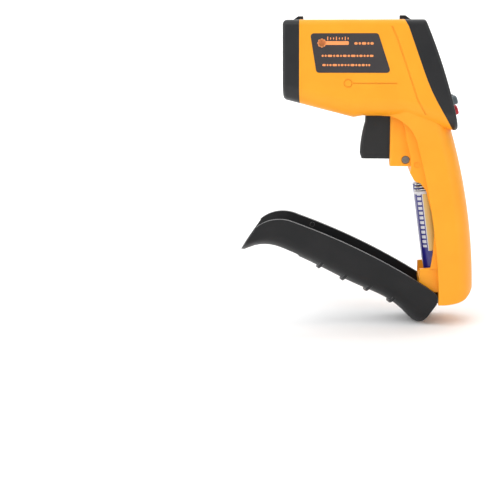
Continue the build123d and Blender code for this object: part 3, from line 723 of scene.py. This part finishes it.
@dataclass(frozen=True)
class Row:
    """A row of printed bars, in millimetres: where it starts, its height on the head, and its bars."""

    start: float
    up: float
    thick: float
    gap: float
    widths: tuple[float, ...]

    def bars(self) -> list[Print]:
        """The row's bars, each a gap after the one before."""
        widths = np.array(self.widths)
        left = self.start + np.concatenate([[0.0], np.cumsum(widths + self.gap)[:-1]])
        return [Print(edge + width / 2, self.up, width, self.thick) for edge, width in zip(left, widths)]


@dataclass
class Labels:
    """The dark printed labels on both flanks of the head, with plain marks in place of words."""

    nose_x: float = -79.7
    nose_half_width: float = 18.6
    flare: float = 0.028
    proud: float = 0.12
    ink: float = 0.00003
    angle: float = 28.0
    rows: tuple[Row, ...] = (
        Row(-42.5, 88.6, 1.3, 0.50, (1.7, 1.1, 2.3, 1.1, 1.7)),
        Row(-59.3, 82.3, 1.1, 0.45, (1.1, 1.1, 2.4, 1.1, 1.6, 0.9, 2.0, 1.3, 2.4, 1.0, 1.7, 1.1, 1.2, 1.9)),
        Row(-58.9, 77.6, 1.1, 0.45, (1.8, 0.9, 1.2, 2.4, 0.9, 1.5, 1.1, 1.1, 2.1, 0.9, 1.4, 1.6, 0.9, 1.0)),
    )
    bulb_across: float = -59.2
    bulb_size: float = 3.6
    stem: Print = Print(-51.6, 88.8, 12.6, 1.9)
    ticks: int = 8
    first_tick: float = -56.2
    tick_up: float = 91.1
    tick_pitch: float = 1.5
    tick_thick: float = 0.5
    tick_short: float = 1.1
    tick_extra: float = 0.8

    def marks(self) -> list[Print]:
        """Bars of mixed lengths in rows, after a drawing of a bulb and stem with a scale.

        Returns:
            The marks, across from x = 0 and up from z = 0, in millimetres.
        """
        prints = [bar for row in self.rows for bar in row.bars()]
        prints += [Print(self.bulb_across, self.stem.up, self.bulb_size, self.bulb_size, turn) for turn in (0.0, 45.0)]
        prints.append(self.stem)
        for step in range(self.ticks):
            tall = self.tick_short + self.tick_extra * (step % 3 == 0)
            prints.append(Print(self.first_tick + self.tick_pitch * step, self.tick_up, self.tick_thick, tall))
        return prints

    def build(self, palette: Palette) -> None:
        """Makes the film and the ink on each side.

        Args:
            palette: The materials.
        """
        length = math.hypot(1.0, self.flare)
        half = (self.nose_half_width - self.flare * self.nose_x + self.proud) * MM
        for side, node in ((Side.NEAR, "label_left"), (Side.FAR, "label_right")):
            dress_nodes({node: Dress("label_print", "label_film")}, palette, self.angle, "_film")
            sign = side.value
            origin = np.array([0.0, sign * half, 0.0])
            right = np.array([-sign, -self.flare, 0.0]) / length
            prints = [Print(-sign * p.across, p.up, p.width, p.height, -sign * p.turn) for p in self.marks()]
            ink = printed_marks(node + "_ink", prints, origin, right, np.array([0.0, 0.0, 1.0]), self.ink)
            finish_piece(ink, Body.ROOT, palette["label_ink"])


@dataclass
class Optics:
    """The lens, its tube, the sensor and the sighting laser."""

    angle: float = 30.0
    parts: dict[str, Dress] = field(default_factory=lambda: {
        "sensor_tube": Dress("tube_black", "tube_black"),
        "ir_lens": Dress("lens_dark", "lens_smoke"),
        "thermopile": Dress("sensor_metal", "can_metal"),
        "sensor_board": Dress("board_green", "board_green"),
        "laser_module": Dress("brass", "brass"),
        "laser_lens": Dress("clear_window", "window_clear"),
        "laser_board": Dress("board_green", "board_green"),
    })

    def build(self, palette: Palette) -> None:
        """Dresses the optics.

        Args:
            palette: The materials.
        """
        dress_nodes(self.parts, palette, self.angle)


@dataclass
class RearPanel:
    """The display with its digits, the keys with their marks, and the electronics behind them.

    Sizes are in millimetres, apart from the ink's, and places are across and up the panel from its origin.
    """

    origin: Triple = (2.6, 0.0, 74.15)
    normal: Triple = (0.9489, 0.0, 0.3157)
    angle: float = 30.0
    digits: str = "235"
    digit_width: float = 5.2
    digit_height: float = 11.0
    digit_gap: float = 2.4
    first_digit: float = -7.6
    stroke: float = 1.0
    joint: float = 1.3
    point_size: float = 1.1
    degree: Print = Print(11.3, 12.7, 1.7, 1.7, 45.0)
    scale_bars: int = 9
    scale_pitch: float = 2.2
    scale_start: Print = Print(-9.0, -0.6, 1.4, 0.8)
    display_up: float = 8.0
    face_depth: float = -3.3
    chevron: Print = Print(0.62, 0.0, 2.0, 0.4, 40.0)
    ray: Print = Print(1.5, 0.0, 0.9, 0.3)
    rays: int = 8
    dot_size: float = 0.9
    sink: float = 0.01
    ink: float = 0.00003
    parts: dict[str, Dress] = field(default_factory=lambda: {
        "display_window": Dress("clear_window", "window_clear"),
        "lcd_frame": Dress("white_plastic", "white_plastic"),
        "lcd_panel": Dress("lcd_glass", "display_grey"),
        "backlight": Dress("white_plastic", "white_plastic"),
        "elastomer_strips": Dress("elastomer", "elastomer"),
        "main_board": Dress("board_green", "board_green"),
        "key_switches": Dress("switch_black", "switch_black"),
        "buzzer": Dress("switch_black", "switch_black"),
    })
    keys: tuple[Dress, ...] = (
        Dress("grey_key", "key_grey", Body.LEFT_KEY),
        Dress("grey_key", "key_grey", Body.RIGHT_KEY),
        Dress("red_key", "key_red", Body.LASER_KEY),
    )

    def axes(self) -> tuple[np.ndarray, np.ndarray]:
        """The panel's outward normal and its up direction, both of length 1."""
        normal = np.array(self.normal) / np.linalg.norm(self.normal)
        return normal, np.array([-normal[2], 0.0, normal[0]])

    def plane(self, out_mm: float) -> tuple[np.ndarray, np.ndarray, np.ndarray]:
        """A plane parallel to the panel.

        Args:
            out_mm: Distance out from the panel's own plane, in millimetres.

        Returns:
            Its origin in metres, and its right and up directions.
        """
        normal, up = self.axes()
        return (np.array(self.origin) + normal * out_mm) * MM, np.array([0.0, 1.0, 0.0]), up

    def segments(self) -> list[Print]:
        """Seven-bar digits, as bars round two stacked squares, with a decimal point, a degree mark and a scale.

        Returns:
            The marks on the display.
        """
        lit = {"2": "abged", "3": "abgcd", "5": "afgcd"}
        half_w, half_h = self.digit_width / 2, self.digit_height / 2
        flat, tall = (self.digit_width - self.joint, self.stroke), (self.stroke, half_h - self.joint)
        bars = {
            "a": (0.0, half_h, *flat), "g": (0.0, 0.0, *flat), "d": (0.0, -half_h, *flat),
            "f": (-half_w, half_h / 2, *tall), "b": (half_w, half_h / 2, *tall),
            "e": (-half_w, -half_h / 2, *tall), "c": (half_w, -half_h / 2, *tall),
        }
        pitch = self.digit_width + self.digit_gap
        prints = []
        for place, digit in enumerate(self.digits):
            for bar in lit[digit]:
                across, up, width, height = bars[bar]
                prints.append(Print(self.first_digit + place * pitch + across, self.display_up + up, width, height))
        point = self.first_digit + 1.5 * pitch
        prints += [Print(point, self.display_up - half_h, self.point_size, self.point_size), self.degree]
        start = self.scale_start
        prints += [Print(start.across + self.scale_pitch * step, start.up, start.width, start.height)
                   for step in range(self.scale_bars)]
        return prints

    def key_top(self, body: Body) -> float:
        """How far a key's top is out from the panel's plane, in millimetres: the largest projection on the normal."""
        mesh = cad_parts[body.value].data
        points = np.empty(len(mesh.vertices) * 3)
        mesh.vertices.foreach_get("co", points)
        return float(((points.reshape(-1, 3) / MM - np.array(self.origin)) @ self.axes()[0]).max())

    def key_marks(self, body: Body) -> list[Print]:
        """A chevron up, a chevron down or a dot with rays.

        Args:
            body: The key.

        Returns:
            The marks on the key's top.
        """
        low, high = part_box(body.value)
        middle = (np.array(low) + np.array(high)) / 2 / MM - np.array(self.origin)
        u, v = middle[1], middle @ self.axes()[1]
        if body is Body.LASER_KEY:
            ray = self.ray
            turns = np.arange(self.rays) * 2 * math.pi / self.rays
            rays = [Print(u + ray.across * math.cos(turn), v + ray.across * math.sin(turn), ray.width, ray.height,
                          math.degrees(turn)) for turn in turns]
            return [Print(u, v, self.dot_size, self.dot_size), *rays]
        mark = self.chevron
        lean = mark.turn if body is Body.LEFT_KEY else -mark.turn
        return [Print(u - mark.across, v, mark.width, mark.height, lean),
                Print(u + mark.across, v, mark.width, mark.height, -lean)]

    def build(self, palette: Palette) -> None:
        """Makes the display, digits, keys and marks.

        Args:
            palette: The materials.
        """
        dress_nodes(self.parts, palette, self.angle)
        face = self.plane(self.face_depth + self.sink)
        finish_piece(printed_marks("lcd_digits", self.segments(), *face, self.ink), Body.ROOT,
                     palette["segment_black"])
        for key in self.keys:
            name = key.body.value
            dress_nodes({name: key}, palette, self.angle, "_cap")
            top = self.plane(self.key_top(key.body) - self.sink)
            marks = printed_marks(name + "_mark", self.key_marks(key.body), *top, self.ink)
            finish_piece(marks, key.body, palette["key_ink"])


@dataclass
class GripWorks:
    """The trigger, the battery door, the cells and their contacts."""

    angle: float = 30.0
    parts: dict[str, Dress] = field(default_factory=lambda: {
        "trigger": Dress("black_plastic", "trigger_black", Body.TRIGGER),
        "trigger_switch": Dress("switch_black", "switch_black"),
        "battery_door": Dress("black_plastic", "door_black", Body.DOOR),
        "battery_cell_near": Dress("cell_wrap", "cell_wrap_near"),
        "battery_cell_far": Dress("cell_wrap", "cell_wrap_far"),
        "contact_spring_near": Dress("spring_steel", "spring_steel"),
        "contact_spring_far": Dress("spring_steel", "spring_steel"),
        "contact_negative": Dress("contact_nickel", "contact_nickel"),
        "contact_positive": Dress("contact_nickel", "contact_nickel"),
        "contact_bridge": Dress("contact_nickel", "contact_nickel"),
    })

    def build(self, palette: Palette) -> None:
        """Dresses the works of the grip. The trigger's spring stays the CAD node, because it squeezes with the trigger.

        Args:
            palette: The materials.
        """
        dress_nodes(self.parts, palette, self.angle)
        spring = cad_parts["trigger_spring"]
        spring.data.materials.clear()
        spring.data.materials.append(palette["spring_steel"])


# ---- studio ----
@dataclass(frozen=True)
class Lamp:
    """A rectangular soft lamp, its place and what it faces."""

    name: str
    place: Triple
    target: Triple
    width: float
    height: float
    watts: float


@dataclass
class Studio:
    """A pale swept floor, soft lamps and the camera."""

    width: float = 3.2
    reach: float = 1.5
    height: float = 2.4
    bend: float = 0.6
    clearance: float = 0.0003
    world_strength: float = 0.55
    paper_tones: tuple[Colour, Colour] = ((0.93, 0.93, 0.93), (0.95, 0.95, 0.95))
    paper_scale: float = 3.0
    paper_roughness: float = 0.9
    lens_mm: float = 74.23
    sensor_mm: float = 36.0
    shift: tuple[float, float] = (-0.08, -0.04)
    clip: tuple[float, float] = (0.01, 20.0)
    camera_place: Triple = (-0.039, -0.558, 0.085)
    camera_down: float = 9.876
    camera_turn: float = 3.887
    lamps: tuple[Lamp, ...] = (
        Lamp("key_lamp", (-0.55, -0.75, 0.75), (-0.02, 0.0, 0.03), 0.9, 0.9, 5.5),
        Lamp("fill_lamp", (0.75, -0.65, 0.25), (0.0, 0.0, 0.0), 0.8, 1.0, 2.2),
        Lamp("top_lamp", (0.0, 0.05, 1.0), (0.0, 0.0, 0.0), 1.1, 0.8, 4.0),
        Lamp("wall_lamp", (0.0, 0.95, 1.3), (0.0, 2.1, 0.7), 2.6, 0.4, 20.0),
        Lamp("sweep_lamp", (0.0, 0.9, 1.4), (0.0, 1.5, 0.0), 2.6, 0.4, 12.0),
        Lamp("nose_lamp", (-0.95, -0.10, 0.20), (-0.05, 0.0, 0.06), 0.2, 0.9, 2.0),
    )

    def floor(self, level: float, material: bpy.types.Material) -> None:
        """Makes the sweep: a flat floor, a quarter circle and a wall, along which the profile is carried.

        Args:
            level: The floor's height, in metres.
            material: The pale finish.
        """
        turn = np.linspace(0, math.pi / 2, 25)
        flat = np.stack([np.linspace(-self.reach * 2, self.reach, 10), np.zeros(10)], 1)
        curve = np.stack([self.reach + self.bend * np.sin(turn), self.bend * (1 - np.cos(turn))], 1)
        wall = np.array([[self.reach + self.bend, self.height]])
        profile = np.concatenate([flat, curve[1:], wall])
        sides = np.array([-self.width, self.width])
        points = np.stack([
            np.repeat(sides, len(profile)),
            np.tile(profile[:, 0], 2),
            np.tile(profile[:, 1], 2) + level,
        ], 1)
        index = np.arange(len(profile) - 1)
        faces = np.stack([index, index + len(profile), index + len(profile) + 1, index + 1], 1)
        sweep = mesh_piece("floor_sweep", points, faces.tolist(), smooth=True)
        sweep.data.materials.append(material)
        sweep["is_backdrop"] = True

    def light(self) -> None:
        """Makes the soft lamps and the pale world."""
        for lamp in self.lamps:
            light = bpy.data.lights.new(lamp.name, "AREA")
            light.shape, light.size, light.size_y, light.energy = "RECTANGLE", lamp.width, lamp.height, lamp.watts
            obj = bpy.data.objects.new(lamp.name, light)
            obj.location = lamp.place
            obj.rotation_mode = "QUATERNION"
            towards = np.array(lamp.target) - np.array(lamp.place)
            obj.rotation_quaternion = Vector(towards.tolist()).to_track_quat("-Z", "Y")
            bpy.context.scene.collection.objects.link(obj)
        world = bpy.data.worlds.new("pale_room")
        world.use_nodes = True
        background = world.node_tree.nodes["Background"]
        background.inputs["Color"].default_value = (1.0, 1.0, 1.0, 1.0)
        background.inputs["Strength"].default_value = self.world_strength
        bpy.context.scene.world = world

    def camera(self) -> None:
        """Sets the camera level with the head, turned down and a little to the lens side."""
        data = bpy.data.cameras.new("camera")
        data.lens, data.sensor_width = self.lens_mm, self.sensor_mm
        data.shift_x, data.shift_y = self.shift
        data.clip_start, data.clip_end = self.clip
        obj = bpy.data.objects.new("camera", data)
        obj.location = self.camera_place
        obj.rotation_euler = (math.radians(90.0 - self.camera_down), 0.0, math.radians(self.camera_turn))
        bpy.context.scene.collection.objects.link(obj)
        bpy.context.scene.camera = obj

    def build(self) -> None:
        """Makes the whole studio under the object's lowest point."""
        material, nodes, shader = start_material("pale_paper")
        noise = nodes.add("ShaderNodeTexNoise")
        noise.inputs["Scale"].default_value = self.paper_scale
        nodes.join(nodes.add("ShaderNodeTexCoord").outputs["Object"], noise.inputs["Vector"])
        dull, bright = ((*tone, 1) for tone in self.paper_tones)
        nodes.join(nodes.blend(noise.outputs[0], dull, bright), shader.inputs["Base Color"])
        shader.inputs["Roughness"].default_value = self.paper_roughness
        self.floor(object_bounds()[0].z - self.clearance, material)
        self.light()
        self.camera()
        bpy.context.scene.view_settings.view_transform = "Standard"


def main() -> None:
    """Builds every sub-assembly in order, then the studio."""
    logging.basicConfig(level=logging.INFO, format="%(name)s %(message)s")
    palette = Palette()
    for assembly in (Shell(), Labels(), Optics(), RearPanel(), GripWorks()):
        assembly.build(palette)
    Studio().build()


if __name__ == "__main__":
    main()
